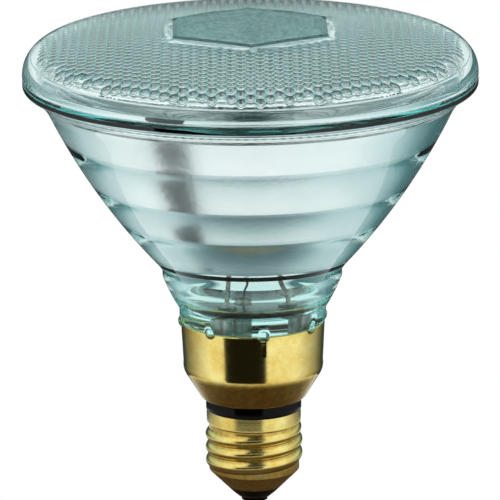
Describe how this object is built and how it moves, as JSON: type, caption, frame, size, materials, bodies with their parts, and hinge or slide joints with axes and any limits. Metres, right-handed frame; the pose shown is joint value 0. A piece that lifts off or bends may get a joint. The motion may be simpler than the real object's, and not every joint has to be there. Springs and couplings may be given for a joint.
{
  "type": "par spotlight bulb",
  "caption": "Sealed reflector lamp with a stippled domed front lens, a silvered pressed glass bowl and a brass skirted screw cap.",
  "frame": {"origin": "middle of the contact face at the tip of the cap", "axes": "+Z along the lamp's axis, from the cap to the front lens; -Y is the side that the picture shows"},
  "size_m": [0.1208, 0.1208, 0.1327],
  "materials": {
    "lens_glass": "pressed borosilicate glass, clear, stippled on its inner face",
    "bowl_glass": "pressed borosilicate glass, clear with a blue-green tint in the thick neck",
    "aluminium_film": "vacuum-deposited aluminium, bright",
    "cap_brass": "rolled and drawn brass, bright with light wear",
    "black_phenolic": "moulded phenolic, glossy black",
    "black_glass": "poured black glass",
    "solder": "tin solder, smooth and dull",
    "nickel_iron": "drawn nickel-iron sheet and wire",
    "tungsten": "drawn tungsten wire, dark grey",
    "copper_wire": "bare copper",
    "woven_sleeve": "woven glass-fibre sleeve, white"
  },
  "bodies": {
    "root": {"front_lens": "lens_glass", "reflector_glass": "bowl_glass", "mirror_coating": "aluminium_film", "skirt": "cap_brass", "insulating_ring": "black_phenolic", "screw_shell": "cap_brass", "base_insulator": "black_glass", "centre_contact": "cap_brass", "contact_solder": "solder", "side_solder": "solder", "ferrule_left": "nickel_iron", "ferrule_right": "nickel_iron", "exhaust_ferrule": "nickel_iron", "exhaust_tube": "bowl_glass", "support_post_left": "nickel_iron", "support_post_right": "nickel_iron", "filament": "tungsten", "filament_anchor": "nickel_iron", "cap_lead_side": "copper_wire", "cap_lead_centre": "copper_wire", "lead_sleeve": "woven_sleeve"}
  },
  "joints": []
}
